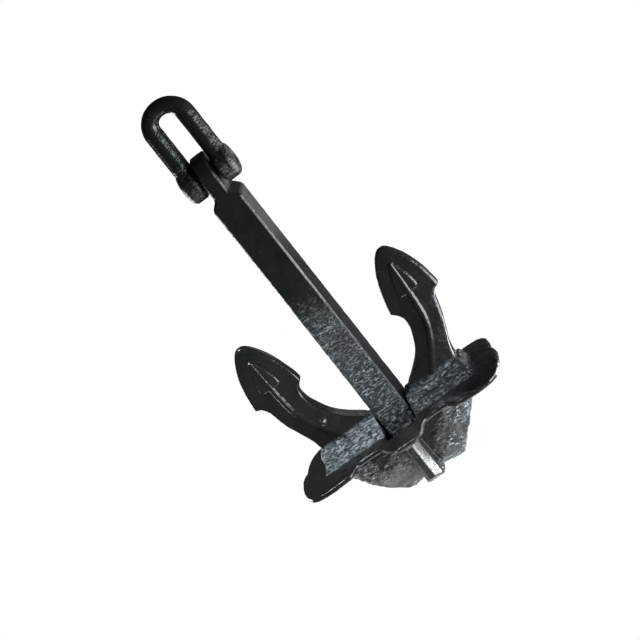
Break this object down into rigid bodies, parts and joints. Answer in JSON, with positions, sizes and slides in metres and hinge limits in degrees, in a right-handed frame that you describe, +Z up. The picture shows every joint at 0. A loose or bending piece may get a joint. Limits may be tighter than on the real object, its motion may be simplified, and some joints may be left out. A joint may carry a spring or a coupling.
{
  "type": "stockless ship's anchor",
  "caption": "Stockless anchor: a cast head with two arrowhead flukes that tilts on a crown pin, a squared shank and a D-shaped anchor shackle.",
  "frame": {"origin": "inside top of the shackle's bow, where the cable's end link pulls", "axes": "+Z up along the shank towards the shackle, +X along the crown pin and the shackle pin, +Y to the back; front and back are alike but for a small step at the parting line"},
  "size_m": [0.736, 0.414, 1.4387],
  "materials": {
    "shackle_bow": "gloss black tar paint over a forged skin",
    "shackle_pin": "gloss black paint",
    "taper_pin": "plain steel",
    "lead_plug": "lead, hammered in and painted over",
    "shank": "gloss black tar paint, speckled over a rough skin",
    "anchor_head": "gloss black tar paint over a sand-cast skin",
    "crown_pin": "turned steel, dulled",
    "crown_keeper": "black paint"
  },
  "bodies": {
    "shackle": {"shackle_bow": "shackle_bow", "shackle_pin": "shackle_pin", "shackle_taper_pin": "taper_pin", "lead_plug_front": "lead_plug", "lead_plug_back": "lead_plug"},
    "shank": {"shank": "shank"},
    "head": {"anchor_head": "anchor_head", "crown_pin": "crown_pin", "crown_keeper_left": "crown_keeper", "crown_keeper_right": "crown_keeper"}
  },
  "joints": [
    {"name": "shackle_swing", "type": "hinge", "parent": "shackle", "child": "shank", "pos_m": [0, 0, -0.222], "axis": [1, 0, 0], "range_deg": [-120, 120]},
    {"name": "fluke_tilt", "type": "hinge", "parent": "shank", "child": "head", "pos_m": [0, 0, -1.227], "axis": [1, 0, 0], "range_deg": [-45, 45]}
  ]
}
